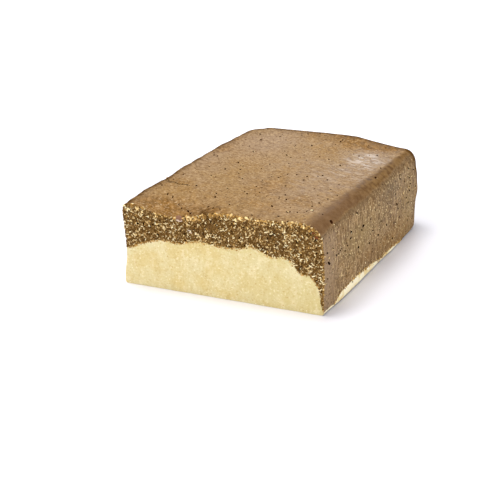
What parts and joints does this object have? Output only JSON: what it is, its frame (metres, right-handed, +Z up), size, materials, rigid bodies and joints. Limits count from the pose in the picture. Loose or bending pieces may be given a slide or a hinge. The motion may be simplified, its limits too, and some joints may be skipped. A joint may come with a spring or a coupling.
{
  "type": "coconut candy block",
  "caption": "Block of dark flaky coconut and nut candy poured over an ivory coconut filling, one end cut off obliquely to show both layers.",
  "frame": {"origin": "middle of the underside, on the surface the block rests on", "axes": "+Z up, +Y along the block from its cut end towards its rounded back end, +X to the right seen from the cut end"},
  "size_m": [0.1032, 0.1423, 0.0468],
  "materials": {
    "nut_mass": "satin brown skin, rough and flaky where it is cut",
    "ivory_filling": "matte, fine grained, ivory yellow"
  },
  "bodies": {
    "root": {"nut_mass": "nut_mass", "ivory_filling": "ivory_filling"}
  },
  "joints": []
}
